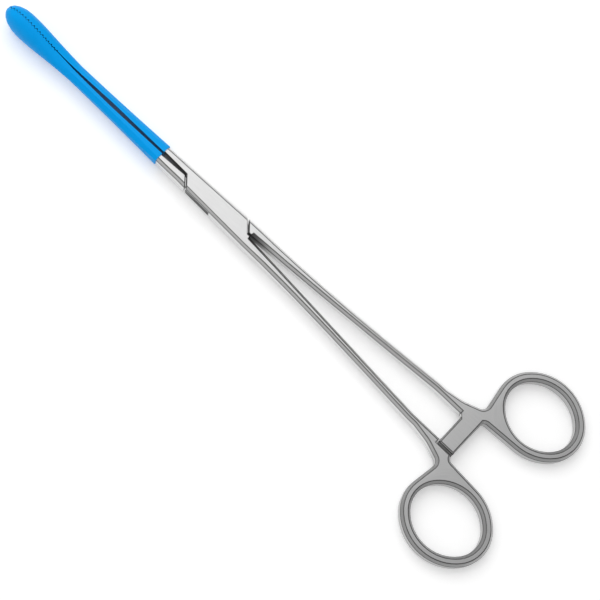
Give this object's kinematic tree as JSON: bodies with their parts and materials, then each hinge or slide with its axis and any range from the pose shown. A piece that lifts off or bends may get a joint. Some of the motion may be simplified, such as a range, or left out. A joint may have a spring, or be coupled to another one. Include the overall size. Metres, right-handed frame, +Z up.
{
  "type": "sponge forceps",
  "caption": "Ring-handled box-lock forceps with oval toothed jaws, coated jaws and front shanks, and a ratchet between the handles.",
  "frame": {"origin": "on the pivot axis, at the underside of the box lock", "axes": "+X along the shanks towards the jaw tips, +Y towards the male jaw, +Z up along the pivot axis"},
  "size_m": [0.249, 0.08, 0.0128],
  "materials": {
    "satin_steel": "satin brushed stainless steel",
    "blue_coating": "smooth bright blue insulating coating"
  },
  "bodies": {
    "fixed_arm": {"female_arm": "satin_steel", "lock_pin": "satin_steel", "female_jaw_coating": "blue_coating"},
    "moving_arm": {"male_arm": "satin_steel", "male_jaw_coating": "blue_coating"}
  },
  "joints": [
    {"name": "box_lock_hinge", "type": "hinge", "parent": "fixed_arm", "child": "moving_arm", "pos_m": [0, 0, 0.0028], "axis": [0, 0, 1], "range_deg": [0, 36]}
  ]
}
